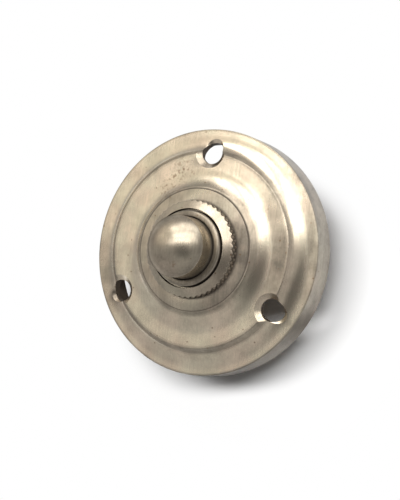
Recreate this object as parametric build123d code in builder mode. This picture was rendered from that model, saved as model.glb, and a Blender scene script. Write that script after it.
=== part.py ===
from build123d import *
import os
from math import cos, isclose, pi, radians, sin, tan

# Doorbell push: a turned rose plate that carries a barrel switch, clamped by a knurled ring nut.
# Millimetres. Z is the push axis and points out of the wall, Z = 0 is the face of the wall,
# Y points to the top screw hole, and the origin is where the push axis meets the wall.

# Rose plate: hollow-backed casting, turned on the front with two coved steps
plate_d = 57.0
rim_height = 7.15
plate_wall = 2.0
rim_wall = 2.5
outer_land = 1.4
step_d = 45.0
step_rise = 2.65
inner_land = 2.0
boss_lip = 0.5
boss_rise = 2.05
underside_inset = 1.1
arris_round = 0.3
inner_chamfer = 0.6

# Screw holes in the plate, countersunk from the first step
screw_count = 3
screw_pcd = 45.5
screw_hole_d = 5.2
screw_head_d = 6.8
screw_head_angle = 90
first_screw_angle = 90

# Push button, the piece that sets the bores round it
button_d = 13.9
button_proud = 4.6
dome_rise = 3.6
dome_edge_round = 0.15
button_flange_t = 1.2
stem_wall = 1.5
stem_length = 2.15
travel = 2.5

# Clearances
button_gap = 0.15
slide_gap = 0.15
fit_gap = 0.05
thread_gap = 0.05
neck_gap = 0.1
contact_gap = 0.05

# Barrel: threaded neck, clamping flange and plain body
barrel_length = 24.75
neck_wall = 1.5
mouth_proud = 0.75
mouth_round = 0.6
mouth_inner_round = 0.3
stop_width = 1.2
stop_depth = 0.4
flange_lip = 1.5
flange_t = 1.5
barrel_wall = 1.2
body_chamfer = 0.4
base_seat = 0.5
ring_groove_depth = 0.4

# Front washer and knurled ring nut
washer_d = 27.8
washer_t = 0.35
washer_edge_t = 0.1
nut_wall = 2.11
nut_height = 2.95
nut_mouth_gap = 0.44
nut_mouth_depth = 1.2
nut_face_angle = 30
nut_chamfer = 0.1
knurl_count = 48
knurl_lean = 36
knurl_depth = 0.38
knurl_crest = 0.12

# Internal-tooth lock washer under the plate
lock_washer_inset = 0.3
lock_washer_t = 0.6
lock_tooth_length = 1.1
lock_tooth_count = 12
lock_slot_w = 2.6

# Bridge contact carried on the stem
bridge_gap = 1.5
bridge_t = 0.5
bush_wall = 0.8
bush_lip = 1.2
bush_flange_t = 0.7
bridge_washer_t = 0.5
bridge_screw_d = 2.0
bridge_screw_thread = 2.5
bridge_screw_head_d = 3.4
bridge_screw_head_t = 0.9
tap_runout = 0.6

# Return spring, which goes round the head of the bridge screw
wire_d = 0.5
wire_side_count = 8
spring_head_gap = 0.3
spring_turns = 4
spring_end_gap = 0.01

# Contact base, a moulded disc, and the ring that keeps it in
spring_pocket_depth = 2.2
spring_pocket_gap = 0.35
base_floor = 1.4
base_edge = 0.3
barrier_w = 1.2
barrier_height = 0.7
ring_t = 0.8
ring_lip = 1.1
ring_opening_angle = 34
ring_lug_d = 2.6
ring_lug_hole_d = 1.0

# Fixed contacts and terminals, one of each on both sides
strip_t = 0.5
strip_gap = 0.5
strip_pocket_gap = 0.15
terminal_angle = -27
terminal_gap = 0.2
tip_d = 2.2
tip_height = 0.4
tip_shank_d = 1.2
terminal_bush_wall = 0.7
terminal_bush_step = 0.35
terminal_bush_head_t = 0.3
terminal_screw_d = 2.0
terminal_screw_head_d = 3.8
terminal_screw_head_t = 1.4
terminal_screw_tip_gap = 0.4
terminal_washer_d = 4.4
terminal_washer_t = 0.5
slot_w = 0.55
slot_depth = 0.45

# Radii, from the button outwards
button_r = button_d / 2
neck_bore_r = button_r + button_gap
neck_r = neck_bore_r + neck_wall
neck_hole_r = neck_r + neck_gap
guide_r = neck_bore_r + stop_width
button_flange_r = guide_r - slide_gap
base_bore_r = guide_r + base_seat
base_r = base_bore_r - fit_gap
body_r = base_bore_r + barrel_wall
flange_r = body_r + flange_lip
nut_bore_r = neck_r + thread_gap
nut_mouth_r = neck_r + nut_mouth_gap
nut_r = nut_mouth_r + nut_wall
lock_root_r = neck_hole_r + lock_tooth_length
rim_r = plate_d / 2
outer_cove_r = rim_r - outer_land
step_r = step_d / 2
inner_cove_r = step_r - inner_land
washer_r = washer_d / 2
boss_r = washer_r + boss_lip
bridge_screw_r = bridge_screw_d / 2
stem_r = bridge_screw_r + stem_wall
bush_spigot_r = bridge_screw_r + bush_wall
bush_flange_r = bush_spigot_r + bush_lip
bridge_r = guide_r - bridge_gap
spring_mean_r = bridge_screw_head_d / 2 + spring_head_gap + wire_d / 2
spring_outer_r = spring_mean_r + wire_d / 2
spring_pocket_r = spring_outer_r + spring_pocket_gap
bridge_washer_r = spring_pocket_r - slide_gap
ring_bore_r = base_bore_r - ring_lip
ring_groove_r = base_bore_r + ring_groove_depth
ring_r = ring_groove_r - fit_gap
strip_r = guide_r - strip_gap
strip_inner_x = spring_pocket_r + strip_pocket_gap
terminal_r = ring_bore_r - terminal_washer_d / 2 - terminal_gap
terminal_x = terminal_r * cos(radians(terminal_angle))
terminal_y = terminal_r * sin(radians(terminal_angle))
terminal_screw_r = terminal_screw_d / 2
terminal_bush_r = terminal_screw_r + terminal_bush_wall
terminal_spigot_r = terminal_bush_r - terminal_bush_step

# Levels along the push axis, outwards from the wall to the dome
step_z = rim_height + step_rise
boss_z = step_z + boss_rise
washer_z = boss_z + washer_t
nut_z = washer_z + nut_height
mouth_z = nut_z + mouth_proud
dome_edge_z = mouth_z + button_proud

# Levels along the push axis, from the plate back to the end of the barrel
boss_back_z = boss_z - plate_wall
flange_top_z = boss_back_z - lock_washer_t
flange_z = flange_top_z - flange_t
stop_z = flange_z + stop_depth
button_back_z = stop_z - button_flange_t
stem_z = button_back_z - stem_length
bush_z = stem_z - bush_flange_t
bridge_z = bush_z - bridge_t
bridge_washer_z = bridge_z - bridge_washer_t
tip_z = bridge_z - travel - contact_gap
strip_z = tip_z - tip_height
base_z = strip_z - strip_t
spring_seat_z = base_z - spring_pocket_depth
base_t = spring_pocket_depth + base_floor
base_back_z = base_z - base_t
barrel_back_z = mouth_z - barrel_length

os.makedirs("parts", exist_ok=True)


def save(piece, name):
    """Label a finished piece and write it as its own node."""
    piece.label = name
    export_step(piece, f"parts/{name}.step")


# Rose plate: the front is a rim, a cove up to the step, a land, and a cove up to the flat boss.
# The underside steps and slopes one wall below it, so the casting is hollow at the back.
with BuildPart() as rose_plate:
    with BuildSketch(Plane.XZ):
        with BuildLine():
            Polyline(
                (rim_r - rim_wall, 0), (rim_r, 0), (rim_r, rim_height), (outer_cove_r, rim_height)
            )
            TangentArc((outer_cove_r, rim_height), (step_r, step_z), tangent=(-1, 0))
            Line((step_r, step_z), (inner_cove_r, step_z))
            TangentArc((inner_cove_r, step_z), (boss_r, boss_z), tangent=(-1, 0))
            Polyline(
                (boss_r, boss_z),
                (neck_hole_r, boss_z),
                (neck_hole_r, boss_back_z),
                (boss_r - underside_inset, boss_back_z),
                (inner_cove_r, step_z - plate_wall),
                (step_r - underside_inset, step_z - plate_wall),
                (outer_cove_r - plate_wall, rim_height - plate_wall),
                (rim_r - rim_wall, rim_height - plate_wall),
                (rim_r - rim_wall, 0),
            )
        make_face()
    revolve(axis=Axis.Z)
    circles = rose_plate.edges().filter_by(GeomType.CIRCLE)
    above_foot = circles.filter_by(lambda e: e.center().Z > plate_wall)
    front_arrises = above_foot.filter_by(
        lambda e: isclose(e.radius, rim_r) or isclose(e.radius, step_r)
    )
    inner_corner = above_foot.filter_by(lambda e: isclose(e.radius, rim_r - rim_wall))
    fillet(front_arrises, radius=arris_round)
    chamfer(inner_corner, length=inner_chamfer)
    with Locations(Plane.XY.offset(step_z)):
        with PolarLocations(screw_pcd / 2, screw_count, start_angle=first_screw_angle):
            CounterSinkHole(
                screw_hole_d / 2, screw_head_d / 2, counter_sink_angle=screw_head_angle
            )
save(rose_plate.part, "rose_plate")


# Front washer: pressed ring between the plate and the nut, crowned from the nut's wall to a thin edge.
with BuildPart() as front_washer:
    with BuildSketch(Plane.XZ):
        with BuildLine():
            Polyline(
                (nut_r, washer_z),
                (neck_hole_r, washer_z),
                (neck_hole_r, boss_z),
                (washer_r, boss_z),
                (washer_r, boss_z + washer_edge_t),
            )
            TangentArc((nut_r, washer_z), (washer_r, boss_z + washer_edge_t), tangent=(1, 0))
        make_face()
    revolve(axis=Axis.Z)
save(front_washer.part, "front_washer")


# Ring nut: a coned face, and a wall cut by two crossing sets of V grooves that leave diamonds.
knurl_spacing = 2 * pi * nut_r / knurl_count * cos(radians(knurl_lean))
groove_half_w = (knurl_spacing - knurl_crest) / 2
groove_overshoot = knurl_depth


def knurl_groove(lean):
    """A V cutter through the origin, its bottom on the -X side, leaning in the YZ plane."""
    across = groove_half_w * (knurl_depth + groove_overshoot) / knurl_depth
    run = Plane(origin=(0, 0, 0), x_dir=(1, 0, 0), z_dir=(0, sin(radians(lean)), cos(radians(lean))))
    with BuildPart() as groove:
        with BuildSketch(run):
            with BuildLine():
                Polyline(
                    (-knurl_depth, 0),
                    (groove_overshoot, across),
                    (groove_overshoot, -across),
                    close=True,
                )
            make_face()
        extrude(amount=nut_height / cos(radians(lean)), both=True)
    return groove.part


left_groove = knurl_groove(knurl_lean)
right_groove = knurl_groove(-knurl_lean)
nut_shoulder_z = nut_z - (nut_r - nut_mouth_r) * tan(radians(nut_face_angle))

with BuildPart() as ring_nut:
    with BuildSketch(Plane.XZ):
        with BuildLine():
            Polyline(
                (nut_bore_r, washer_z),
                (nut_r - nut_chamfer, washer_z),
                (nut_r, washer_z + nut_chamfer),
                (nut_r, nut_shoulder_z),
                (nut_mouth_r, nut_z),
                (nut_mouth_r, nut_z - nut_mouth_depth),
                (nut_bore_r, nut_z - nut_mouth_depth),
                close=True,
            )
        make_face()
    revolve(axis=Axis.Z)
    with Locations((0, 0, (washer_z + nut_shoulder_z) / 2)):
        with PolarLocations(nut_r, knurl_count):
            add(left_groove, mode=Mode.SUBTRACT)
            add(right_groove, mode=Mode.SUBTRACT)
save(ring_nut.part, "ring_nut")


# Barrel: turned bush whose neck comes up through the plate, with a flange that clamps from behind.
with BuildPart() as barrel:
    with BuildSketch(Plane.XZ):
        with BuildLine():
            Polyline(
                (neck_bore_r, mouth_z - mouth_inner_round),
                (neck_bore_r, stop_z),
                (guide_r, stop_z),
                (guide_r, base_z),
                (base_bore_r, base_z),
                (base_bore_r, base_back_z),
                (ring_groove_r, base_back_z),
                (ring_groove_r, base_back_z - ring_t),
                (base_bore_r, base_back_z - ring_t),
                (base_bore_r, barrel_back_z),
                (body_r - body_chamfer, barrel_back_z),
                (body_r, barrel_back_z + body_chamfer),
                (body_r, flange_z),
                (flange_r, flange_z),
                (flange_r, flange_top_z),
                (neck_r, flange_top_z),
                (neck_r, mouth_z - mouth_round),
            )
            TangentArc((neck_r, mouth_z - mouth_round), (neck_r - mouth_round, mouth_z), tangent=(0, 1))
            Line((neck_r - mouth_round, mouth_z), (neck_bore_r + mouth_inner_round, mouth_z))
            TangentArc(
                (neck_bore_r + mouth_inner_round, mouth_z),
                (neck_bore_r, mouth_z - mouth_inner_round),
                tangent=(-1, 0),
            )
        make_face()
    revolve(axis=Axis.Z)
save(barrel.part, "barrel")


# Lock washer: spring steel ring with teeth on its inner edge, between the flange and the plate.
with BuildPart() as lock_washer:
    with BuildSketch(Plane.XY.offset(flange_top_z)):
        Circle(flange_r - lock_washer_inset)
        Circle(neck_hole_r, mode=Mode.SUBTRACT)
        with PolarLocations(lock_root_r, lock_tooth_count):
            Rectangle(
                lock_root_r, lock_slot_w, align=(Align.MAX, Align.CENTER), mode=Mode.SUBTRACT
            )
    extrude(amount=lock_washer_t)
save(lock_washer.part, "lock_washer")


# Push button: turned in one piece, with a domed head, a flange that stops under the neck,
# and a stem that is tapped for the bridge screw.
with BuildPart() as push_button:
    with BuildSketch(Plane.XZ):
        with BuildLine():
            Polyline(
                (0, dome_edge_z + dome_rise),
                (0, stem_z),
                (stem_r, stem_z),
                (stem_r, button_back_z),
                (button_flange_r, button_back_z),
                (button_flange_r, stop_z),
                (button_r, stop_z),
                (button_r, dome_edge_z),
            )
            TangentArc((0, dome_edge_z + dome_rise), (button_r, dome_edge_z), tangent=(1, 0))
        make_face()
    revolve(axis=Axis.Z)
    button_circles = push_button.edges().filter_by(GeomType.CIRCLE)
    dome_edge = button_circles.filter_by(lambda e: isclose(e.radius, button_r)).sort_by(Axis.Z)[-1]
    fillet(dome_edge, radius=dome_edge_round)
    with Locations(Plane(origin=(0, 0, stem_z), z_dir=(0, 0, -1))):
        Hole(bridge_screw_r + thread_gap, depth=bridge_screw_thread + tap_runout)
save(push_button.part, "push_button")


# Bridge bush: top-hat insulator between the stem and the bridge disc.
with BuildPart() as bridge_bush:
    with BuildSketch(Plane.XY.offset(bush_z)):
        Circle(bush_flange_r)
    extrude(amount=bush_flange_t)
    with BuildSketch(Plane.XY.offset(bridge_z)):
        Circle(bush_spigot_r)
    extrude(amount=bridge_t)
    Hole(bridge_screw_r + fit_gap)
save(bridge_bush.part, "bridge_bush")


# Bridge disc: sprung bronze disc that joins the two fixed contacts when the button is down.
with BuildPart() as bridge_disc:
    with BuildSketch(Plane.XY.offset(bridge_z)):
        Circle(bridge_r)
        Circle(bush_spigot_r + fit_gap, mode=Mode.SUBTRACT)
    extrude(amount=bridge_t)
save(bridge_disc.part, "bridge_disc")


# Bridge washer: insulator under the disc, and the upper seat of the return spring.
# It is narrower than the spring's pocket, so it passes between the contact strips.
with BuildPart() as bridge_washer:
    with BuildSketch(Plane.XY.offset(bridge_washer_z)):
        Circle(bridge_washer_r)
        Circle(bridge_screw_r + fit_gap, mode=Mode.SUBTRACT)
    extrude(amount=bridge_washer_t)
save(bridge_washer.part, "bridge_washer")


def slotted_screw(shank_d, shank_length, head_d, head_t):
    """A cheese-head screw along +Z, with its head below Z = 0 and its shank above."""
    with BuildPart() as screw:
        with BuildSketch():
            Circle(head_d / 2)
        extrude(amount=-head_t)
        with BuildSketch():
            Circle(shank_d / 2)
        extrude(amount=shank_length)
        with BuildSketch(Plane.XY.offset(-head_t)):
            Rectangle(head_d, slot_w)
        extrude(amount=slot_depth, mode=Mode.SUBTRACT)
    return screw.part


# Bridge screw: holds the washer, disc and bush on the stem.
bridge_screw_length = stem_z - bridge_washer_z + bridge_screw_thread
bridge_screw = Pos(0, 0, bridge_washer_z) * slotted_screw(
    bridge_screw_d, bridge_screw_length, bridge_screw_head_d, bridge_screw_head_t
)
save(bridge_screw, "bridge_screw")


# Return spring: wire coil from the pocket in the base to the bridge washer,
# swept with an eight-sided section that stands for the round wire.
coil_z = spring_seat_z + wire_d / 2 + spring_end_gap
coil_height = bridge_washer_z - spring_seat_z - wire_d - 2 * spring_end_gap
with BuildPart() as return_spring:
    with BuildLine():
        coil = Helix(
            pitch=coil_height / spring_turns,
            height=coil_height,
            radius=spring_mean_r,
            center=(0, 0, coil_z),
        )
    with BuildSketch(Plane(origin=coil @ 0, z_dir=coil % 0)):
        RegularPolygon(wire_d / 2, wire_side_count)
    sweep(path=coil, is_frenet=True)
save(return_spring.part, "return_spring")


# Contact base: moulded disc that closes the barrel, with the spring pocket in front,
# holes for the terminal bushes, and a barrier between the terminals at the back.
terminals = [(side * terminal_x, terminal_y) for side in (-1, 1)]
with BuildPart() as contact_base:
    with BuildSketch(Plane.XY.offset(base_back_z)):
        Circle(base_r)
    extrude(amount=base_t)
    chamfer(contact_base.edges().group_by(Axis.Z)[-1], length=base_edge)
    with BuildSketch(Plane.XY.offset(base_back_z)):
        with BuildSketch(mode=Mode.PRIVATE) as barrier_reach:
            Circle(ring_bore_r - fit_gap)
        Rectangle(barrier_w, 2 * ring_bore_r)
        add(barrier_reach.sketch, mode=Mode.INTERSECT)
    extrude(amount=-barrier_height)
    with BuildSketch(Plane.XY.offset(base_z)):
        Circle(spring_pocket_r)
    extrude(amount=-spring_pocket_depth, mode=Mode.SUBTRACT)
    with BuildSketch(Plane.XY.offset(base_z)):
        with Locations(*terminals):
            Circle(terminal_bush_r + fit_gap)
    extrude(amount=-base_t, mode=Mode.SUBTRACT)
save(contact_base.part, "contact_base")


# Retaining ring: open spring ring in the groove behind the base, with an eyed lug at each end.
half_opening = ring_opening_angle / 2
with BuildPart() as retaining_ring:
    with BuildSketch(Plane.XY.offset(base_back_z)):
        Circle(ring_r)
        Circle(ring_bore_r, mode=Mode.SUBTRACT)
        with BuildLine():
            Polyline(
                (0, 0),
                (-2 * ring_r * sin(radians(half_opening)), 2 * ring_r * cos(radians(half_opening))),
                (2 * ring_r * sin(radians(half_opening)), 2 * ring_r * cos(radians(half_opening))),
                close=True,
            )
        make_face(mode=Mode.SUBTRACT)
        with PolarLocations(
            ring_bore_r,
            2,
            start_angle=90 - half_opening,
            angular_range=ring_opening_angle,
            endpoint=True,
        ):
            Circle(ring_lug_d / 2)
            Circle(ring_lug_hole_d / 2, mode=Mode.SUBTRACT)
    extrude(amount=-ring_t)
save(retaining_ring.part, "retaining_ring")


# Fixed contacts and terminals: a strip on the front of the base carries a contact tip,
# a riveted bush joins it to the back, and a screw with a washer holds the wire there.
for side, hand in ((-1, "left"), (1, "right")):
    terminal = (side * terminal_x, terminal_y)
    tip = (side * terminal_x, -terminal_y)

    with BuildPart() as contact_strip:
        with BuildSketch(Plane.XY.offset(base_z)):
            Circle(strip_r)
            with Locations((side * strip_inner_x, 0)):
                Rectangle(
                    2 * strip_r,
                    2 * strip_r,
                    align=(Align.MAX if side > 0 else Align.MIN, Align.CENTER),
                    mode=Mode.SUBTRACT,
                )
            with Locations(terminal):
                Circle(terminal_spigot_r + fit_gap, mode=Mode.SUBTRACT)
            with Locations(tip):
                Circle(tip_shank_d / 2 + fit_gap, mode=Mode.SUBTRACT)
        extrude(amount=strip_t)
    save(contact_strip.part, f"{hand}_contact_strip")

    with BuildPart() as contact_tip:
        with BuildSketch(Plane.XY.offset(base_z)):
            with Locations(tip):
                Circle(tip_shank_d / 2)
        extrude(amount=strip_t)
        with BuildSketch(Plane.XY.offset(strip_z)):
            with Locations(tip):
                Circle(tip_d / 2)
        extrude(amount=tip_height)
        chamfer(contact_tip.edges().group_by(Axis.Z)[-1], length=tip_height / 2)
    save(contact_tip.part, f"{hand}_contact_tip")

    with BuildPart() as terminal_bush:
        with BuildSketch(Plane.XY.offset(base_back_z)):
            with Locations(terminal):
                Circle(terminal_bush_r)
        extrude(amount=base_t)
        with BuildSketch(Plane.XY.offset(base_z)):
            with Locations(terminal):
                Circle(terminal_spigot_r)
        extrude(amount=strip_t)
        with BuildSketch(Plane.XY.offset(strip_z)):
            with Locations(terminal):
                Circle(terminal_bush_r)
        extrude(amount=terminal_bush_head_t)
        with Locations(terminal):
            Hole(terminal_screw_r + thread_gap)
    save(terminal_bush.part, f"{hand}_terminal_bush")

    with BuildPart() as terminal_washer:
        with BuildSketch(Plane.XY.offset(base_back_z)):
            with Locations(terminal):
                Circle(terminal_washer_d / 2)
                Circle(terminal_screw_r + fit_gap, mode=Mode.SUBTRACT)
        extrude(amount=-terminal_washer_t)
    save(terminal_washer.part, f"{hand}_terminal_washer")

    terminal_screw = Pos(*terminal, base_back_z - terminal_washer_t) * slotted_screw(
        terminal_screw_d,
        terminal_washer_t + base_t - terminal_screw_tip_gap,
        terminal_screw_head_d,
        terminal_screw_head_t,
    )
    save(terminal_screw, f"{hand}_terminal_screw")
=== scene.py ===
import math

import bpy
import numpy as np
from mathutils import Matrix, Vector


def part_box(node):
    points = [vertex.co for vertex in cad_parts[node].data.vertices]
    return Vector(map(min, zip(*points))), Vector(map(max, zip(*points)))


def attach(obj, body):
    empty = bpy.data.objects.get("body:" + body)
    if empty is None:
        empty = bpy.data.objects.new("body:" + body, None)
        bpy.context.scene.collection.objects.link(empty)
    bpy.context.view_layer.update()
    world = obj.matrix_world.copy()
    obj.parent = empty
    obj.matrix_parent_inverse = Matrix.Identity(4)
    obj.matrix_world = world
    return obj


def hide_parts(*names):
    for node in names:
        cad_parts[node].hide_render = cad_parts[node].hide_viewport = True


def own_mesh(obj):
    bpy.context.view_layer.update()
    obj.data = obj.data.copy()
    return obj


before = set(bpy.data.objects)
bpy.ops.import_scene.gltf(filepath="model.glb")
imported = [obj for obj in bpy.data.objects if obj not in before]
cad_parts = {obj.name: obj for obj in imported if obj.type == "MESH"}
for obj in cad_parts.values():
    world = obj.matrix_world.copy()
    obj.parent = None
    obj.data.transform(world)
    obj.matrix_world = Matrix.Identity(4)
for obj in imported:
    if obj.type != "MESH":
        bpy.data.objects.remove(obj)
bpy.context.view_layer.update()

# Rose plate: the round plate that hides the hole in the wall. It is a hollow-backed brass casting,
# turned on the front with two coved steps, drilled and countersunk for three wood screws,
# then nickel plated and rubbed to a satin. Years of polishing have rounded its arrises.
plate_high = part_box("rose_plate")[1]
rim_r = plate_high.x
boss_z = plate_high.z
plate_wall = 0.0020
rim_wall = 0.0025
rim_z = 0.00715
outer_cove_r = 0.0271
step_r = 0.0225
step_z = 0.0098
inner_cove_r = 0.0205
dish_r = 0.0192
dish_sink = 0.00002
dish_z = step_z - dish_sink
boss_r = 0.0144
underside_inset = 0.0011
inner_chamfer = 0.0006
plate_bore_r = 0.0087
arris_wear = 0.00014
screw_circle_r = 0.02275
screw_hole_r = 0.0026
countersink_r = 0.00375
screw_angles = np.radians((90, 210, 330))


def level_arc(start, end, count=32):
    """An arc that leaves start level and bends to end, of radius (dr^2 + dz^2) / 2 dz."""
    dr, dz = np.subtract(end, start)
    radius = (dr * dr + dz * dz) / (2 * abs(dz))
    turn = np.linspace(0, 2 * math.atan2(abs(dz), abs(dr)), count)
    return np.column_stack((
        start[0] + math.copysign(radius, dr) * np.sin(turn),
        start[1] + math.copysign(radius, dz) * (1 - np.cos(turn)),
    ))


def worn_outline(corners, wear, count):
    """Round the corners of a closed (radius, height) outline as polishing does.

    The outline is walked in equal steps and blurred along its length by a Gaussian of standard
    deviation wear. The points kept are spread so that each has the same share of length plus turning.
    """
    loop = np.vstack((corners, corners[:1]))
    along = np.concatenate(([0.0], np.cumsum(np.hypot(*np.diff(loop, axis=0).T))))
    steps = 8192
    walk = np.linspace(0, along[-1], steps, endpoint=False)
    outline = np.column_stack([np.interp(walk, along, loop[:, k]) for k in (0, 1)])
    frequency = np.fft.fftfreq(steps, along[-1] / steps)
    gauss = np.exp(-2 * (math.pi * wear * frequency) ** 2)
    outline = np.fft.ifft(np.fft.fft(outline, axis=0) * gauss[:, None], axis=0).real
    step = np.roll(outline, -1, axis=0) - outline
    heading = np.unwrap(np.arctan2(step[:, 1], step[:, 0]))
    turning = np.abs(np.diff(heading, append=heading[0] + 2 * math.pi))
    share = np.cumsum(np.hypot(*step.T) / along[-1] + turning / turning.sum())
    return outline[np.searchsorted(share, np.linspace(0, share[-1], count, endpoint=False))]


def band_faces(rows, sectors, closed):
    """Quads between the rings of a grid of points. Its columns wrap round, and its rows do if closed."""
    index = np.arange(rows * sectors).reshape(rows, sectors)
    if closed:
        index = np.vstack((index, index[:1]))
    beside = np.roll(index, -1, axis=1)
    return np.stack((index[:-1], beside[:-1], beside[1:], index[1:]), axis=-1).reshape(-1, 4)


def piece(name, points, faces, crease=30):
    """A mesh object at the origin, smooth except where its faces meet at more than crease degrees."""
    mesh = bpy.data.meshes.new(name)
    mesh.from_pydata(points.reshape(-1, 3).tolist(), [], faces)
    mesh.shade_smooth()
    mesh.set_sharp_from_angle(angle=math.radians(crease))
    obj = bpy.data.objects.new(name, mesh)
    bpy.context.scene.collection.objects.link(obj)
    return obj


def capped(name, grid, start, end):
    """A tube through the rings of a grid of points, closed by fans to the points start and end."""
    rows, sectors = grid.shape[:2]
    first = np.arange(sectors)
    last = first + (rows - 1) * sectors
    start_pole = np.full(sectors, rows * sectors)
    faces = band_faces(rows, sectors, False).tolist()
    faces += np.column_stack((start_pole, np.roll(first, -1), first)).tolist()
    faces += np.column_stack((start_pole + 1, last, np.roll(last, -1))).tolist()
    return piece(name, np.vstack((grid.reshape(-1, 3), start, end)), faces)


def turned(name, outline, sectors, centre=(0, 0)):
    """A (radius, height) outline turned about an upright axis through centre.

    Point (i, j) has the radius and height i of the outline and stands at the angle 2 pi j / sectors.
    An outline that starts and ends on the axis is closed there by two poles, and any other is a loop.
    """
    poles = outline[0, 0] == 0
    rings = outline[1:-1] if poles else outline
    angle = np.arange(sectors) * (2 * math.pi / sectors)
    grid = np.empty((len(rings), sectors, 3))
    grid[..., 0] = centre[0] + rings[:, :1] * np.cos(angle)
    grid[..., 1] = centre[1] + rings[:, :1] * np.sin(angle)
    grid[..., 2] = rings[:, 1:]
    if poles:
        return capped(name, grid, (*centre, outline[0, 1]), (*centre, outline[-1, 1]))
    return piece(name, grid, band_faces(len(rings), sectors, True).tolist())


plate_corners = np.vstack((
    [(rim_r - rim_wall, 0), (rim_r, 0), (rim_r, rim_z)],
    level_arc((outer_cove_r, rim_z), (step_r, step_z)),
    level_arc((dish_r, dish_z), (step_r, step_z), count=12)[::-1],
    level_arc((dish_r, dish_z), (boss_r, boss_z)),
    [
        (plate_bore_r, boss_z),
        (plate_bore_r, boss_z - plate_wall),
        (boss_r - underside_inset, boss_z - plate_wall),
        (inner_cove_r, step_z - plate_wall),
        (step_r - underside_inset, step_z - plate_wall),
        (outer_cove_r - plate_wall, rim_z - plate_wall),
        (rim_r - rim_wall - inner_chamfer, rim_z - plate_wall),
        (rim_r - rim_wall, rim_z - plate_wall - inner_chamfer),
    ],
))
plate_outline = worn_outline(plate_corners, arris_wear, count=150)
rose_plate = turned("rose_plate_worn", plate_outline, sectors=400)

# The countersinks are 90 degree cones whose mouths lie level with the first step. A smaller cone that
# leans out, square to the cove, breaks the sharp lip that is left on the outer side of each hole.
drill_top_z = step_z + plate_wall
drill_outline = np.array((
    (0, 0),
    (screw_hole_r, 0),
    (screw_hole_r, step_z - countersink_r + screw_hole_r),
    (countersink_r + plate_wall, drill_top_z),
    (0, drill_top_z),
))
hole_places = screw_circle_r * np.column_stack((np.cos(screw_angles), np.sin(screw_angles)))
drill_sectors = 96
drills = [turned("drill", drill_outline, drill_sectors, centre) for centre in hole_places]
lip_size = 0.0030
lip_r = screw_circle_r + 0.0004
lip_z = 0.0059
lip_lean = math.radians(22)
hole_crease = math.radians(15)
lip_outline = np.array(((0, 0), (lip_size, lip_size), (0, lip_size)))
for angle in screw_angles:
    lip = turned("lip", lip_outline, drill_sectors)
    lean = Matrix.Translation((lip_r, 0, lip_z)) @ Matrix.Rotation(lip_lean, 4, "Y")
    lip.matrix_world = Matrix.Rotation(angle, 4, "Z") @ lean
    drills.append(lip)
for drill in drills:
    cut = rose_plate.modifiers.new("screw_hole", "BOOLEAN")
    cut.operation = "DIFFERENCE"
    cut.solver = "EXACT"
    cut.object = drill
drilled = bpy.data.meshes.new_from_object(
    rose_plate.evaluated_get(bpy.context.evaluated_depsgraph_get())
)
rose_plate.modifiers.clear()
rose_plate.data = drilled
drilled.set_sharp_from_angle(angle=hole_crease)
for drill in drills:
    bpy.data.objects.remove(drill)


def places(obj):
    """The vertices of a piece as an array of points."""
    points = np.empty(len(obj.data.vertices) * 3)
    obj.data.vertices.foreach_get("co", points)
    return points.reshape(-1, 3)


def beside_line(points, start, end, reach):
    """1 on the (radius, height) line from start to end, and exp(-(d / reach)^2) at the distance d."""
    flat = np.column_stack((np.hypot(points[:, 0], points[:, 1]), points[:, 2]))
    run = np.subtract(end, start)
    share = np.clip((flat - start) @ run / (run @ run), 0, 1)
    return np.exp(-(np.hypot(*(flat - start - share[:, None] * run).T) / reach) ** 2)


def near_places(points, centres, reach):
    """The largest of exp(-(d / reach)^2), where d is the distance in plan from each of the centres."""
    apart = np.hypot(*(points[:, None, :2] - np.array(centres)).T)
    return np.exp(-(apart.min(axis=0) / reach) ** 2)


def paint(obj, **layers):
    """Store a number on each vertex for each named layer, for the material to read."""
    for name, values in layers.items():
        layer = obj.data.attributes.new(name, "FLOAT", "POINT")
        spread = np.broadcast_to(values, len(obj.data.vertices)).astype(np.float32)
        layer.data.foreach_set("value", spread)


# Brown dirt lies in the crevice round the washer, and dust lies on the walls of the screw holes. A dull
# film stays where cloth seldom rubs: on the rim's wall and by the holes. Painted shade darkens the lower
# right of the rim's wall, the feet of the step and the boss, the step's edge and the boss's side towards
# the right, the flats of the dish and the rim on the right flank, and two patches on the left of the rim
# and at the top of the dish. The back keeps the skin of the casting. Each row gives a share, a place and
# a reach.
washer_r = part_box("front_washer")[1].x
plate_points = places(rose_plate)
plate_radius = np.hypot(plate_points[:, 0], plate_points[:, 1])
normals = np.empty(len(plate_points) * 3)
rose_plate.data.vertex_normals.foreach_get("vector", normals)
front_tilt = 0.3
off_front = normals.reshape(-1, 3)[:, 2] < front_tilt
hole_distance = np.hypot(*(plate_points[:, None, :2] - hole_places).T).min(axis=0)
crevice_width = 0.0002
crevice = beside_line(
    plate_points,
    (washer_r, boss_z),
    (washer_r + crevice_width, boss_z),
    reach=0.00018,
)
rim_film_width = 0.0004
rim_film_fade = 0.0003
on_rim = np.clip((plate_radius - rim_r + rim_film_width) / rim_film_fade, 0, 1)
# Painted shade: the rim's wall is darkened towards its lower right.
lower_wall_shade = near_places(plate_points, ((0.0110, -0.0262),), reach=0.0150)
right_side = np.clip(plate_points @ (0.91, 0.42, 0) / plate_radius, 0, 1)
right_flank = np.clip(plate_points[:, 0] / plate_radius, 0, 1) ** 6
step_foot = (step_r + 0.0001, step_z - 0.0002), (step_r + 0.0007, step_z - 0.0010)
step_arris = (step_r - 0.0002, step_z), (step_r + 0.0002, step_z - 0.0003)
boss_foot = (boss_r, boss_z), (boss_r + 0.0004, boss_z - 0.0003)
boss_side = (boss_r, boss_z), (boss_r + 0.0010, boss_z - 0.0008)
dish_flat = (step_r - 0.0036, step_z), (step_r - 0.0006, step_z)
rim_flat = (outer_cove_r - 0.0008, rim_z), (rim_r - 0.0003, rim_z)
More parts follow.
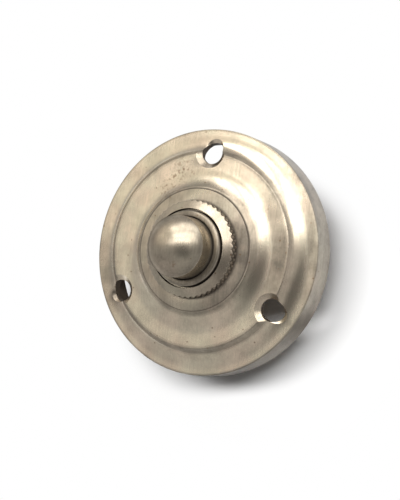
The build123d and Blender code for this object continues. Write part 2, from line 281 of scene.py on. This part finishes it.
# Painted shade along these lines: the feet of the step and the boss, the step's edge and the boss's side
# towards the right, and the flats of the dish and the rim on the right flank.
film_lines = (
    (0.9 * (1 - right_flank), step_foot, 0.0005),
    (right_side * (1 - 0.7 * right_flank), step_arris, 0.0005),
    (0.8, boss_foot, 0.0005),
    (0.9 * right_side, boss_side, 0.0006),
    (right_flank, dish_flat, 0.0006),
    (0.9 * right_flank, rim_flat, 0.0005),
)
# The first row is a film by the holes. The other two rows are painted shade, on the left of the rim and
# at the top of the dish.
film_places = (
    (1.0, ((-0.0024, 0.0206), (-0.0223, -0.0129), (0.0223, -0.0129)), 0.0020),
    (0.8, ((-0.0270, -0.0080),), 0.0050),
    (0.8, ((0.0013, 0.0148),), 0.0022),
)
scuff_places = ((-0.0089, 0.0136), (-0.0077, 0.0159), (-0.0061, 0.0180))
paint(
    rose_plate,
    grime=np.maximum(0.9 * crevice, 0.5 * on_rim * lower_wall_shade),
    dusty=np.clip((2 * countersink_r - hole_distance) / screw_hole_r, 0, 1),
    film=np.max((
        0.9 * on_rim,
        *(share * beside_line(plate_points, *line, reach) for share, line, reach in film_lines),
        *(share * near_places(plate_points, spots, reach) for share, spots, reach in film_places),
    ), axis=0),
    scuff=near_places(plate_points, scuff_places, reach=0.0026),
    cast=off_front & (plate_radius < rim_r - rim_wall / 2),
)


def linear(code):
    """An sRGB hex colour as linear RGBA."""
    srgb = np.array([int(code[k:k + 2], 16) for k in (1, 3, 5)]) / 255
    return (*np.where(srgb <= 0.04045, srgb / 12.92, ((srgb + 0.055) / 1.055) ** 2.4), 1.0)


def add(tree, kind, feeds=(), **settings):
    """Add a node to a tree, with its settings, and feed its inputs from values or other sockets."""
    node = tree.nodes.new(kind)
    for key, value in settings.items():
        setattr(node, key, value)
    for key, value in dict(feeds).items():
        if isinstance(value, bpy.types.NodeSocket):
            tree.links.new(value, node.inputs[key])
        else:
            node.inputs[key].default_value = value
    return node


def blank(name):
    """A new material and its node tree, with only an output."""
    material = bpy.data.materials.new(name)
    material.use_nodes = True
    tree = material.node_tree
    tree.nodes.clear()
    return material, tree, add(tree, "ShaderNodeOutputMaterial")


# Brushed satin nickel: a warm grey plating, rubbed up and down in fine lines, with small brown pits and
# patches where the shine has gone. The lines are drawn several times as wide as real ones, so that they
# show. Film, grime, dust, scuffs, grease and bare casting follow the numbers painted on each piece, and
# the dust keeps to upright walls. The film and grime numbers also carry painted shade, which turns the
# metal towards the dull and brown colours.
warm_nickel = linear("#E8D7C3")
cool_nickel = linear("#E2D9C4")
dull_and_shaded_nickel = linear("#7B746A")
grime_brown = linear("#24180E")
stain_brown = linear("#7A5C40")
cast_brass = linear("#77603E")
dust_buff = linear("#5E5346")
clean_edge = linear("#FFFFFF")
greasy_edge = linear("#C4C2BE")
tint_size = 0.0080
patch_size = 0.0050
line_width = 0.00035
line_length = 0.0070
grain_size = 0.00045
pit_spacing = 0.0026
scuff_size = 0.0009
patch_level = 0.59
line_share = 0.35
grain_share = 0.2
film_share = 0.7
grime_and_shade_roughness = 0.35
grime_and_shade_cover = 0.8
satin_nickel, tree, output = blank("satin_nickel_brushed")
coords = add(tree, "ShaderNodeTexCoord").outputs["Object"]
film, grime, cast, scuff, dusty, grease = (
    add(tree, "ShaderNodeAttribute", attribute_name=layer).outputs["Fac"]
    for layer in ("film", "grime", "cast", "scuff", "dusty", "grease")
)
facet = add(tree, "ShaderNodeNewGeometry").outputs["True Normal"]
tilt = add(tree, "ShaderNodeSeparateXYZ", {"Vector": facet})
level = add(tree, "ShaderNodeMath", {0: tilt.outputs["Z"]}, operation="ABSOLUTE")
upright = add(tree, "ShaderNodeMapRange", {
    "Value": level.outputs["Value"],
    "From Min": 0.1,
    "From Max": 0.2,
    "To Min": 1.0,
    "To Max": 0.0,
})
dust = add(tree, "ShaderNodeMath", {
    0: dusty,
    1: upright.outputs["Result"],
}, operation="MULTIPLY").outputs["Value"]
patches = add(tree, "ShaderNodeTexNoise", {"Vector": coords, "Scale": 1 / patch_size, "Detail": 6.0})
rubbed = add(tree, "ShaderNodeMapping", {
    "Vector": coords,
    "Scale": (1 / line_width, 1 / line_length, 1 / line_width),
})
lines = add(tree, "ShaderNodeTexNoise", {
    "Vector": rubbed.outputs["Vector"],
    "Scale": 1.0,
    "Detail": 2.0,
})
grain = add(tree, "ShaderNodeTexNoise", {"Vector": coords, "Scale": 1 / grain_size, "Detail": 2.0})
patchy = add(tree, "ShaderNodeMath", {
    0: patches.outputs["Fac"],
    1: patch_level,
}, operation="SUBTRACT")
lined = add(tree, "ShaderNodeMath", {
    0: lines.outputs["Fac"],
    1: line_share,
    2: patchy.outputs["Value"],
}, operation="MULTIPLY_ADD")
grained = add(tree, "ShaderNodeMath", {
    0: grain.outputs["Fac"],
    1: grain_share,
    2: lined.outputs["Value"],
}, operation="MULTIPLY_ADD")
# The film number carries painted shade as well as film, so this also darkens the metal where shade is
# painted.
dullness_and_shade = add(tree, "ShaderNodeMath", {
    0: film,
    1: film_share,
    2: grained.outputs["Value"],
}, operation="MULTIPLY_ADD", use_clamp=True)
tints = add(tree, "ShaderNodeTexNoise", {"Vector": coords, "Scale": 1 / tint_size, "Detail": 4.0})
tinted = add(tree, "ShaderNodeMapRange", {
    "Value": tints.outputs["Fac"],
    "From Min": 0.38,
    "From Max": 0.62,
})
pale_nickel = add(tree, "ShaderNodeMixRGB", {
    "Fac": tinted.outputs["Result"],
    "Color1": warm_nickel,
    "Color2": cool_nickel,
})
metal = add(tree, "ShaderNodeMixRGB", {
    "Fac": dullness_and_shade.outputs["Value"],
    "Color1": pale_nickel.outputs["Color"],
    "Color2": dull_and_shaded_nickel,
})
cells = add(tree, "ShaderNodeTexVoronoi", {"Vector": coords, "Scale": 1 / pit_spacing})
pits = add(tree, "ShaderNodeMapRange", {
    "Value": cells.outputs["Distance"],
    "From Min": 0.04,
    "From Max": 0.09,
    "To Min": 0.8,
    "To Max": 0.0,
})
rubs = add(tree, "ShaderNodeTexNoise", {"Vector": coords, "Scale": 1 / scuff_size, "Detail": 4.0})
scored = add(tree, "ShaderNodeMapRange", {
    "Value": rubs.outputs["Fac"],
    "From Min": 0.52,
    "From Max": 0.66,
    "To Max": 0.8,
})
scuffed = add(tree, "ShaderNodeMath", {0: scored.outputs["Result"], 1: scuff}, operation="MULTIPLY")
marks = add(tree, "ShaderNodeMath", {
    0: pits.outputs["Result"],
    1: scuffed.outputs["Value"],
}, operation="MAXIMUM")
pitted = add(tree, "ShaderNodeMixRGB", {
    "Fac": marks.outputs["Value"],
    "Color1": metal.outputs["Color"],
    "Color2": stain_brown,
})
colour = pitted.outputs["Color"]
# The grime number carries painted shade as well as dirt.
for share, tint in ((cast, cast_brass), (dust, dust_buff), (grime, grime_brown)):
    mixed = add(tree, "ShaderNodeMixRGB", {"Fac": share, "Color1": colour, "Color2": tint})
    colour = mixed.outputs["Color"]
sheen = add(tree, "ShaderNodeMapRange", {
    "Value": dullness_and_shade.outputs["Value"],
    "To Min": 0.19,
    "To Max": 0.36,
})
covered = add(tree, "ShaderNodeMath", {0: grime, 1: dust}, operation="MAXIMUM")
rough = add(tree, "ShaderNodeMath", {
    0: covered.outputs["Value"],
    1: grime_and_shade_roughness,
    2: sheen.outputs["Result"],
}, operation="MULTIPLY_ADD")
bare = add(tree, "ShaderNodeMath", {
    0: covered.outputs["Value"],
    1: -grime_and_shade_cover,
    2: 1.0,
}, operation="MULTIPLY_ADD")
relief = add(tree, "ShaderNodeBump", {
    "Height": lined.outputs["Value"],
    "Strength": 0.05,
    "Distance": 0.00003,
})
edge = add(tree, "ShaderNodeMixRGB", {
    "Fac": grease,
    "Color1": clean_edge,
    "Color2": greasy_edge,
})
shader = add(tree, "ShaderNodeBsdfPrincipled", {
    "Base Color": colour,
    "Metallic": bare.outputs["Value"],
    "Specular Tint": edge.outputs["Color"],
    "Roughness": rough.outputs["Value"],
    "Normal": relief.outputs["Normal"],
})
tree.links.new(shader.outputs["BSDF"], output.inputs["Surface"])
rose_plate.data.materials.clear()
rose_plate.data.materials.append(satin_nickel)
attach(rose_plate, "mounted_body")
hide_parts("rose_plate")

# Barrel: a bush turned from brass bar and plated. Its threaded neck comes up through the plate, where
# its rounded mouth shows as a dull ring, and its flange pulls up behind the plate. Dirt lies on the
# thread and in the bore.
barrel_low, barrel_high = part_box("barrel")
mouth_z = barrel_high.z
barrel_back_z = barrel_low.z
flange_r = barrel_high.x
neck_bore_r = 0.0071
neck_r = 0.0086
mouth_round = 0.0006
mouth_inner_round = 0.0003
stop_z = 0.00815
guide_r = 0.0083
base_z = 0.00015
base_bore_r = 0.0088
base_back_z = -0.00345
ring_groove_r = 0.0092
ring_t = 0.0008
body_r = 0.0100
body_chamfer = 0.0004
flange_z = 0.00775
flange_top_z = 0.00925
barrel_wear = 0.00006
quarter = np.linspace(0, math.pi / 2, 12)
barrel_corners = np.vstack((
    [
        (neck_bore_r, stop_z),
        (guide_r, stop_z),
        (guide_r, base_z),
        (base_bore_r, base_z),
        (base_bore_r, base_back_z),
        (ring_groove_r, base_back_z),
        (ring_groove_r, base_back_z - ring_t),
        (base_bore_r, base_back_z - ring_t),
        (base_bore_r, barrel_back_z),
        (body_r - body_chamfer, barrel_back_z),
        (body_r, barrel_back_z + body_chamfer),
        (body_r, flange_z),
        (flange_r, flange_z),
        (flange_r, flange_top_z),
        (neck_r, flange_top_z),
    ],
    np.column_stack((
        neck_r - mouth_round * (1 - np.cos(quarter)),
        mouth_z - mouth_round * (1 - np.sin(quarter)),
    )),
    np.column_stack((
        neck_bore_r + mouth_inner_round * (1 - np.sin(quarter)),
        mouth_z - mouth_inner_round * (1 - np.cos(quarter)),
    )),
))
barrel = turned("barrel_turned", worn_outline(barrel_corners, barrel_wear, count=180), sectors=256)
barrel_points = places(barrel)
thread_top_z = mouth_z - 1.3 * mouth_round
paint(
    barrel,
    grime=np.maximum(
        beside_line(barrel_points, (neck_r, flange_top_z), (neck_r, thread_top_z), reach=0.0002),
        0.8 * beside_line(barrel_points, (neck_bore_r, stop_z), (neck_bore_r, mouth_z), reach=0.0003),
    ),
    film=1.0,
)
barrel.data.materials.append(satin_nickel)
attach(barrel, "mounted_body")
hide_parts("barrel")

# Front washer: a pressed brass ring, plated with the plate and crowned from the nut out to a thin edge.
# The nut clamps it on the boss. Dirt gathers at the nut's foot, and painted shade darkens and dulls the
# washer's right side.
washer_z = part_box("front_washer")[1].z
washer_edge_t = 0.0001
washer_wear = washer_edge_t / 3
nut_r = 0.01115
washer_corners = np.vstack((
    [(plate_bore_r, washer_z), (plate_bore_r, boss_z), (washer_r, boss_z)],
    level_arc((nut_r, washer_z), (washer_r, boss_z + washer_edge_t))[::-1],
))
washer_outline = worn_outline(washer_corners, washer_wear, count=80)
front_washer = turned("front_washer_pressed", washer_outline, sectors=320)
washer_points = places(front_washer)
# Painted shade: the right side of the washer is made darker and duller.
washer_right_shade = np.clip(washer_points @ (0.98, -0.20, 0) / washer_r, 0, 1) ** 2
paint(
    front_washer,
    grime=np.maximum(
        0.7 * beside_line(washer_points, (plate_bore_r, washer_z), (nut_r, washer_z), reach=0.00025),
        0.35 * washer_right_shade,
    ),
    film=0.6 + 0.5 * washer_right_shade,
)
front_washer.data.materials.append(satin_nickel)
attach(front_washer, "mounted_body")
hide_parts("front_washer")

# Ring nut: the knurled collar that clamps the barrel to the plate. Its face is turned to a cone, and two
# crossing sets of V grooves rolled into its wall leave diamonds for the fingers to grip. Dirt packs the
# grooves and the gap round the barrel's mouth.
nut_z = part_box("ring_nut")[1].z
nut_bore_r = 0.00865
nut_mouth_r = 0.00904
nut_mouth_depth = 0.0012
nut_chamfer = 0.0001
nut_face_lean = math.radians(30)
nut_shoulder_z = nut_z - (nut_r - nut_mouth_r) * math.tan(nut_face_lean)
nut_clean_lip = 0.0002
knurl_count = 48
knurl_lean = math.radians(36)
knurl_depth = 0.00038
knurl_crest = 0.00012
nut_wear = 0.00005
nut_corners = np.array((
    (nut_bore_r, washer_z),
    (nut_r - nut_chamfer, washer_z),
    (nut_r, washer_z + nut_chamfer),
    (nut_r, nut_shoulder_z),
    (nut_mouth_r, nut_z),
    (nut_mouth_r, nut_z - nut_mouth_depth),
    (nut_bore_r, nut_z - nut_mouth_depth),
))


def knurled(name, outline, sectors):
    """The nut's outline turned about Z and cut back by the knurl.

    A groove crosses the wall at the slope tan(lean). Its depth falls off in proportion to the distance
    across it from its centre line, and a point takes the deeper of the two sets.
    """
    pitch = 2 * math.pi * nut_r / knurl_count
    half_groove = (pitch * math.cos(knurl_lean) - knurl_crest) / 2
    angle = np.arange(sectors) * (2 * math.pi / sectors)
    rise = outline[:, 1:] - (washer_z + nut_shoulder_z) / 2
    radius = np.broadcast_to(outline[:, :1], (len(outline), sectors))
    for lean in (knurl_lean, -knurl_lean):
        turns = (nut_r * angle - rise * math.tan(lean)) / pitch
        across = np.abs(turns - np.round(turns)) * pitch * math.cos(lean)
        radius = np.minimum(radius, nut_r - knurl_depth * np.clip(1 - across / half_groove, 0, 1))
    points = np.stack((
        radius * np.cos(angle),
        radius * np.sin(angle),
        np.broadcast_to(outline[:, 1:], radius.shape),
    ), axis=-1)
    return piece(name, points, band_faces(len(outline), sectors, True).tolist())


nut_outline = worn_outline(nut_corners, nut_wear, count=84)
ring_nut = knurled("ring_nut_knurled", nut_outline, sectors=20 * knurl_count)
nut_points = places(ring_nut)
nut_cut = (nut_r - np.hypot(nut_points[:, 0], nut_points[:, 1])) / knurl_depth
deepest_cut = 1.05
on_wall = (nut_cut < deepest_cut) & (nut_points[:, 2] < nut_shoulder_z)
paint(
    ring_nut,
    grime=np.maximum(
        np.where(on_wall, 0.75 * nut_cut, 0),
        beside_line(
            nut_points,
            (nut_mouth_r, nut_z - nut_mouth_depth),
            (nut_mouth_r, nut_z - nut_clean_lip),
            reach=0.0001,
        ),
    ),
    film=np.where(on_wall, 0.5, 0.6),
)
ring_nut.data.materials.append(satin_nickel)
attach(ring_nut, "mounted_body")
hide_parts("ring_nut")

# Push button: turned from one piece of brass bar and plated, with a domed head, a flange that stops it
# under the barrel's neck, and a stem tapped for the bridge screw. Fingers keep only its top bright, and
# their grease takes the gleam off the edge of the dome.
button_low, button_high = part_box("push_button")
dome_z = button_high.z
button_flange_r = button_high.x
stem_z = button_low.z
button_r = 0.00695
dome_edge_z = 0.0205
button_back_z = 0.00695
stem_r = 0.0025
tapped_r = 0.00105
tapped_depth = 0.0031
dome_wear = 0.00009
button_half = np.vstack((
    [
        (0, stem_z + tapped_depth),
        (tapped_r, stem_z + tapped_depth),
        (tapped_r, stem_z),
        (stem_r, stem_z),
        (stem_r, button_back_z),
        (button_flange_r, button_back_z),
        (button_flange_r, stop_z),
        (button_r, stop_z),
    ],
    level_arc((0, dome_z), (button_r, dome_edge_z), count=40)[::-1],
))
button_corners = np.vstack((button_half, button_half[::-1] * (-1, 1)))
button_outline = worn_outline(button_corners, dome_wear, count=280)
button_outline = button_outline[button_outline[:, 0] > dome_wear]
button_outline = np.vstack((button_half[:1], button_outline, button_half[-1:]))
push_button = turned("push_button_domed", button_outline, sectors=224)
button_points = places(push_button)
button_reach = np.hypot(button_points[:, 0], button_points[:, 1]) / button_r
on_dome = button_points[:, 2] > dome_edge_z
paint(
    push_button,
    grime=0.8 * beside_line(button_points, (button_r, stop_z), (button_r, mouth_z), reach=0.0006),
    film=np.where(on_dome, 0.6 + 0.4 * np.clip(button_reach, 0, 1) ** 5, 0.5),
    scuff=near_places(button_points, ((0.0019, -0.0043),), reach=0.0006),
    grease=on_dome,
)
push_button.data.materials.append(satin_nickel)
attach(push_button, "plunger")
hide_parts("push_button")

# Lock washer and retaining ring: stamped from spring steel strip and blued in the furnace. The washer's
# teeth bite between the barrel's flange and the plate, and the ring snaps into the barrel's groove.


def mottled(name, pale, dark, size, smooth, rough, metallic):
    """A material that drifts between two colours and two roughnesses, in spots of the size (x, y, z)."""
    material, tree, output = blank(name)
    coords = add(tree, "ShaderNodeTexCoord").outputs["Object"]
    spaced = add(tree, "ShaderNodeMapping", {
        "Vector": coords,
        "Scale": tuple(1 / step for step in size),
    })
    spots = add(tree, "ShaderNodeTexNoise", {
        "Vector": spaced.outputs["Vector"],
        "Scale": 1.0,
        "Detail": 3.0,
    })
    drift = add(tree, "ShaderNodeMapRange", {
        "Value": spots.outputs["Fac"],
        "From Min": 0.3,
        "From Max": 0.7,
    })
    colour = add(tree, "ShaderNodeMixRGB", {
        "Fac": drift.outputs["Result"],
        "Color1": linear(pale),
        "Color2": linear(dark),
    })
    sheen = add(tree, "ShaderNodeMapRange", {
        "Value": drift.outputs["Result"],
        "To Min": smooth,
        "To Max": rough,
    })
    relief = add(tree, "ShaderNodeBump", {
        "Height": spots.outputs["Fac"],
        "Strength": 0.1,
        "Distance": min(size) / 10,
    })
    shader = add(tree, "ShaderNodeBsdfPrincipled", {
        "Base Color": colour.outputs["Color"],
        "Metallic": metallic,
        "Roughness": sheen.outputs["Result"],
        "Normal": relief.outputs["Normal"],
    })
    tree.links.new(shader.outputs["BSDF"], output.inputs["Surface"])
    return material


def dress(material, *names):
    """Give the CAD's own shape of each named piece a material."""
    for name in names:
        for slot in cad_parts[name].material_slots:
            slot.material = material


# Blued spring steel: a dark slate sheen that turns brownish in patches where the blueing is thin.
blued_steel = mottled(
    "spring_steel_blued",
    pale="#6B6E78",
    dark="#4C4640",
    size=(0.0016, 0.0016, 0.0016),
    smooth=0.25,
    rough=0.42,
    metallic=1.0,
)
dress(blued_steel, "lock_washer", "retaining_ring")

# Contact base: a disc moulded in brown phenolic that closes the back of the barrel and carries the two
# terminals. The retaining ring holds it against the barrel's step.
# Moulded phenolic: a dark brown gloss, clouded by the wood flour in it.
phenolic = mottled(
    "phenolic_moulded",
    pale="#4A2E20",
    dark="#2A1812",
    size=(0.0012, 0.0012, 0.0012),
    smooth=0.28,
    rough=0.45,
    metallic=0.0,
)
dress(phenolic, "contact_base")

# Contact strips and bridge disc: the springy pieces that carry the current, blanked from rolled phosphor
# bronze strip. The bridge disc rides on the button and joins the two strips when it is pressed.
# Rolled phosphor bronze: a pinkish gold with faint streaks along the strip and brown tarnish between.
bronze = mottled(
    "phosphor_bronze_rolled",
    pale="#CF9A70",
    dark="#8C6142",
    size=(0.0006, 0.0030, 0.0006),
    smooth=0.22,
    rough=0.40,
    metallic=1.0,
)
dress(bronze, "left_contact_strip", "right_contact_strip", "bridge_disc")

# Return spring: four open turns of phosphor bronze wire, wound cold. It stands in the pocket of the base
# and pushes the bridge and the button forward, and it closes up when the button is pressed.
spring_low, spring_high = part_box("return_spring")
spring_turns = 4
spring_wire_r = 0.00025


def coiled(name, radius, low, high, turns, wire_r, steps=48, sides=16):
    """Round wire that climbs from low to high along a helix about Z.

    Point (i, j) lies on a circle of radius wire_r, at the angle 2 pi j / sides from the outward
    direction, in the plane square to the helix at the turn i / steps.
    """
    turn = np.linspace(0, 2 * math.pi * turns, steps * turns + 1)
    slope = math.atan2(high - low, 2 * math.pi * radius * turns)
    flat = np.zeros_like(turn)
    outward = np.column_stack((np.cos(turn), np.sin(turn), flat))
    backward = np.column_stack((np.sin(turn), -np.cos(turn), flat))
    climb = backward * math.sin(slope) + (0, 0, math.cos(slope))
    line = outward * radius + np.column_stack((flat, flat, np.linspace(low, high, len(turn))))
    around = (np.arange(sides) * (2 * math.pi / sides))[:, None]
    ring = np.cos(around) * outward[:, None] - np.sin(around) * climb[:, None]
    return capped(name, line[:, None] + wire_r * ring, line[0], line[-1])


return_spring = coiled(
    "return_spring_wound",
    spring_high.x - spring_wire_r,
    spring_low.z + spring_wire_r,
    spring_high.z - spring_wire_r,
    spring_turns,
    spring_wire_r,
)
return_spring.data.materials.append(bronze)
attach(return_spring, "mounted_body")
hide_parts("return_spring")
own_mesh(return_spring)

# Contact tips: small buttons of silver riveted to the strips, where the bridge touches.
# Contact silver: near white, with grey sulphide spots.
silver = mottled(
    "contact_silver_tarnished",
    pale="#EDEAE3",
    dark="#8E8A84",
    size=(0.0005, 0.0005, 0.0005),
    smooth=0.20,
    rough=0.45,
    metallic=1.0,
)
dress(silver, "left_contact_tip", "right_contact_tip")

# Bridge screw and terminals: the bushes, screws and washers that hold the strips and clamp the bell's
# wires, all turned from brass rod, and the screw that fastens the bridge to the button's stem.
# Turned brass: a yellow sheen in fine rings, toned down in brown patches by age.
brass = mottled(
    "brass_turned",
    pale="#D9B870",
    dark="#93733F",
    size=(0.0011, 0.0011, 0.0004),
    smooth=0.20,
    rough=0.38,
    metallic=1.0,
)
dress(
    brass,
    "bridge_screw",
    "left_terminal_bush",
    "right_terminal_bush",
    "left_terminal_screw",
    "right_terminal_screw",
    "left_terminal_washer",
    "right_terminal_washer",
)

# Bridge bush and washer: punched from red vulcanised fibre, they keep the bridge disc off the button.
# Vulcanised fibre: a matt brick red with paler paper flecks along the sheet.
fibre = mottled(
    "vulcanised_fibre_punched",
    pale="#9A4436",
    dark="#70291F",
    size=(0.0009, 0.0009, 0.0003),
    smooth=0.65,
    rough=0.82,
    metallic=0.0,
)
dress(fibre, "bridge_bush", "bridge_washer")

# Camera: it looks down on the plate from the right, a little rolled.
plate_centre = Vector((0, 0, rim_z))
camera_tilt = math.radians(28.53)
camera_heading = math.radians(-4.46)
camera_roll = math.radians(-7.256)
camera_distance = 0.2591
aim_right, aim_up = -0.000691, 0.000323
back = Vector((
    math.sin(camera_tilt) * math.cos(camera_heading),
    math.sin(camera_tilt) * math.sin(camera_heading),
    math.cos(camera_tilt),
))
level_up = (Vector((0, 1, 0)) - back * back.y).normalized()
up = level_up * math.cos(camera_roll) + level_up.cross(back) * math.sin(camera_roll)
right = up.cross(back)
lens = bpy.data.cameras.new("camera")
lens.lens = 80.96
lens.sensor_width = 36.0
camera = bpy.data.objects.new("camera", lens)
camera_place = plate_centre + back * camera_distance + right * aim_right + up * aim_up
camera.matrix_world = Matrix.Translation(camera_place) @ Matrix((right, up, back)).transposed().to_4x4()
bpy.context.scene.collection.objects.link(camera)
bpy.context.scene.camera = camera

# Floor: the white board that the part stands on, on the rear end of its barrel. Near the part it shows
# the shadow, and further out it is plain white to the camera and in reflections.
floor_half = 0.16
shadow_centre = (0.0060, -0.0110, barrel_low.z)
shadow_reach = (0.0360, 0.0310, 1.0)
floor = piece(
    "floor",
    np.array(((-1, -1, 0), (1, -1, 0), (1, 1, 0), (-1, 1, 0))) * floor_half + (0, 0, barrel_low.z),
    [(0, 1, 2, 3)],
)
white_board, tree, output = blank("white_board_matt")
coords = add(tree, "ShaderNodeTexCoord")
path = add(tree, "ShaderNodeLightPath")
off_centre = add(tree, "ShaderNodeVectorMath", {
    0: coords.outputs["Object"],
    1: shadow_centre,
}, operation="SUBTRACT")
reached = add(tree, "ShaderNodeVectorMath", {
    0: off_centre.outputs["Vector"],
    1: shadow_reach,
}, operation="DIVIDE")
reach = add(tree, "ShaderNodeVectorMath", {0: reached.outputs["Vector"]}, operation="LENGTH")
open_board = add(tree, "ShaderNodeMapRange", {
    "Value": reach.outputs["Value"],
    "From Min": 0.82,
    "From Max": 1.12,
}, interpolation_type="SMOOTHSTEP")
seen = add(tree, "ShaderNodeMath", {
    0: path.outputs["Is Camera Ray"],
    1: path.outputs["Is Glossy Ray"],
}, operation="MAXIMUM")
whiteness = add(tree, "ShaderNodeMath", {
    0: open_board.outputs["Result"],
    1: seen.outputs["Value"],
}, operation="MULTIPLY")
matt = add(tree, "ShaderNodeBsdfDiffuse", {"Color": linear("#FAFAFA")})
glow = add(tree, "ShaderNodeEmission", {"Color": linear("#FFFFFF"), "Strength": 1.0})
board = add(tree, "ShaderNodeMixShader", {
    0: whiteness.outputs["Value"],
    1: matt.outputs["BSDF"],
    2: glow.outputs["Emission"],
})
tree.links.new(board.outputs["Shader"], output.inputs["Surface"])
floor.data.materials.append(white_board)


# Light: a window in three tiers beyond the top of the picture, which the metal mirrors, and a soft
# ceiling light that casts the shadow. The metal also mirrors a pale room, bright to the left of the
# window and dark round the camera, and matt surfaces get a plain grey fill.
def aside(across, above):
    """The direction that lies those angles to the right of and above the camera's axis."""
    turn = math.hypot(across, above)
    side = (right * across + up * above) / turn
    return back * math.cos(math.radians(turn)) + side * math.sin(math.radians(turn))


def lamp(name, away, wide, high, radiance, tint, distance=0.5):
    """A rectangular lamp that faces the plate, of that many degrees. Its power is pi radiance area."""
    light = bpy.data.lights.new(name, "AREA")
    light.shape = "RECTANGLE"
    light.size = 2 * distance * math.tan(math.radians(wide / 2))
    light.size_y = 2 * distance * math.tan(math.radians(high / 2))
    light.energy = math.pi * radiance * light.size * light.size_y
    light.color = linear(tint)[:3]
    level = (right - away * right.dot(away)).normalized()
    obj = bpy.data.objects.new(name, light)
    turn = Matrix((level, away.cross(level), away)).transposed().to_4x4()
    obj.matrix_world = Matrix.Translation(plate_centre + away * distance) @ turn
    bpy.context.scene.collection.objects.link(obj)
    return obj


for tier, away, wide, high in (
    ("window_lower", aside(-6.5, 23), 87, 12),
    ("window_middle", aside(2, 41), 72, 16),
    ("window_upper", aside(2, 67), 72, 24),
):
    window = lamp(tier, away, wide, high, radiance=3.0, tint="#FFFBF4")
    window.visible_diffuse = False
overhead = Vector((0.11, 0.16, 1.0)).normalized()
ceiling = lamp("ceiling", overhead, wide=62, high=11, radiance=18.1, tint="#FFFFFF", distance=0.32)
ceiling.visible_glossy = False
ceiling.visible_camera = False

low_wall = linear("#BCBAB7")
dim_wall = linear("#BEBCB9")
window_wall = linear("#FDF6E8")
dark_wall = linear("#6A6968")
fill = linear("#5E5E5E")
sill_low, sill_high = math.radians(-4), math.radians(16)
bright_place = aside(-66, 40)
bright_outer, bright_inner = math.radians(42), math.radians(18)
dark_place = aside(-8, -8)
dark_length = (up * 0.47 - right * 0.88) / math.sin(math.radians(38))
dark_width = (up * 0.88 + right * 0.47) / math.sin(math.radians(24))
room = bpy.data.worlds.new("room")
room.use_nodes = True
tree = room.node_tree
tree.nodes.clear()
coords = add(tree, "ShaderNodeTexCoord")
path = add(tree, "ShaderNodeLightPath")
facing = add(tree, "ShaderNodeVectorMath", {
    0: coords.outputs["Generated"],
    1: up,
}, operation="DOT_PRODUCT")
height = add(tree, "ShaderNodeMapRange", {
    "Value": facing.outputs["Value"],
    "From Min": -0.9,
    "From Max": 0.1,
})
over_sill = add(tree, "ShaderNodeMapRange", {
    "Value": facing.outputs["Value"],
    "From Min": math.sin(sill_low),
    "From Max": math.sin(sill_high),
}, interpolation_type="SMOOTHSTEP")
beside_window = add(tree, "ShaderNodeVectorMath", {
    0: coords.outputs["Generated"],
    1: bright_place,
}, operation="DOT_PRODUCT")
near_window = add(tree, "ShaderNodeMapRange", {
    "Value": beside_window.outputs["Value"],
    "From Min": math.cos(bright_outer),
    "From Max": math.cos(bright_inner),
}, interpolation_type="SMOOTHSTEP")
brightness = add(tree, "ShaderNodeMath", {
    0: near_window.outputs["Result"],
    1: over_sill.outputs["Result"],
}, operation="MULTIPLY")
off_dark = add(tree, "ShaderNodeVectorMath", {
    0: coords.outputs["Generated"],
    1: dark_place,
}, operation="SUBTRACT")
along_dark = add(tree, "ShaderNodeVectorMath", {
    0: off_dark.outputs["Vector"],
    1: dark_length,
}, operation="DOT_PRODUCT")
across_dark = add(tree, "ShaderNodeVectorMath", {
    0: off_dark.outputs["Vector"],
    1: dark_width,
}, operation="DOT_PRODUCT")
from_dark = add(tree, "ShaderNodeCombineXYZ", {
    "X": along_dark.outputs["Value"],
    "Y": across_dark.outputs["Value"],
})
dark_reach = add(tree, "ShaderNodeVectorMath", {0: from_dark.outputs["Vector"]}, operation="LENGTH")
darkness = add(tree, "ShaderNodeMapRange", {
    "Value": dark_reach.outputs["Value"],
    "From Min": 1.2,
    "From Max": 0.4,
}, interpolation_type="SMOOTHSTEP")
lower_room = add(tree, "ShaderNodeMixRGB", {
    "Fac": height.outputs["Result"],
    "Color1": low_wall,
    "Color2": dim_wall,
})
walls = add(tree, "ShaderNodeMixRGB", {
    "Fac": brightness.outputs["Value"],
    "Color1": lower_room.outputs["Color"],
    "Color2": window_wall,
})
shaded = add(tree, "ShaderNodeMixRGB", {
    "Fac": darkness.outputs["Result"],
    "Color1": walls.outputs["Color"],
    "Color2": dark_wall,
})
seen_room = add(tree, "ShaderNodeMixRGB", {
    "Fac": path.outputs["Is Diffuse Ray"],
    "Color1": shaded.outputs["Color"],
    "Color2": fill,
})
surroundings = add(tree, "ShaderNodeBackground", {
    "Color": seen_room.outputs["Color"],
    "Strength": 1.0,
})
add(tree, "ShaderNodeOutputWorld", {"Surface": surroundings.outputs["Background"]})
bpy.context.scene.world = room
bpy.context.scene.view_settings.view_transform = "Standard"
